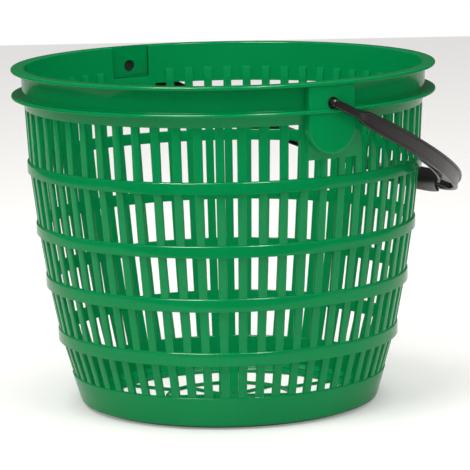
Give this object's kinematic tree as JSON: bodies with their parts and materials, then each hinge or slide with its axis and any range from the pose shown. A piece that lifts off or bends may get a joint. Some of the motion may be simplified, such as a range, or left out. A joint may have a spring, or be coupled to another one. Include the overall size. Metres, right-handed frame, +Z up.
{
  "type": "fruit picker basket",
  "caption": "Round tapered harvest basket with slotted walls between hoops, a double-flanged rim and a swinging bail handle pinned in two side lugs.",
  "frame": {"origin": "on the basket's axis, in the plane of the flat base it stands on", "axes": "+Z up along the basket's axis; the bail's pivot line is parallel to Y at 235 mm height; the bail hangs towards +X"},
  "size_m": [0.3406, 0.319, 0.25],
  "materials": {
    "green_plastic": "smooth glossy injection moulding",
    "black_plastic": "satin black injection moulding"
  },
  "bodies": {
    "basket": {"rim_flange": "green_plastic", "neck_band": "green_plastic", "lower_flange": "green_plastic", "shoulder_band": "green_plastic", "hoop_1": "green_plastic", "hoop_2": "green_plastic", "hoop_3": "green_plastic", "hoop_4": "green_plastic", "stave_row_1": "green_plastic", "stave_row_2": "green_plastic", "stave_row_3": "green_plastic", "stave_row_4": "green_plastic", "stave_row_5": "green_plastic", "foot_band": "green_plastic", "floor_ring": "green_plastic", "floor_mid_ring": "green_plastic", "floor_bar": "green_plastic", "floor_spokes": "green_plastic", "lug_front": "green_plastic", "lug_back": "green_plastic"},
    "bail": {"bail_arm_front": "black_plastic", "bail_web_front": "black_plastic", "bail_rib_front": "black_plastic", "pivot_pin_front": "black_plastic", "bail_arm_back": "black_plastic", "bail_web_back": "black_plastic", "bail_rib_back": "black_plastic", "pivot_pin_back": "black_plastic", "grip_spine": "black_plastic", "grip_shell": "black_plastic"}
  },
  "joints": [
    {"name": "bail_swing", "type": "hinge", "parent": "basket", "child": "bail", "pos_m": [0, 0, 0.235], "axis": [0, -1, 0], "range_deg": [0, 232.8]}
  ]
}
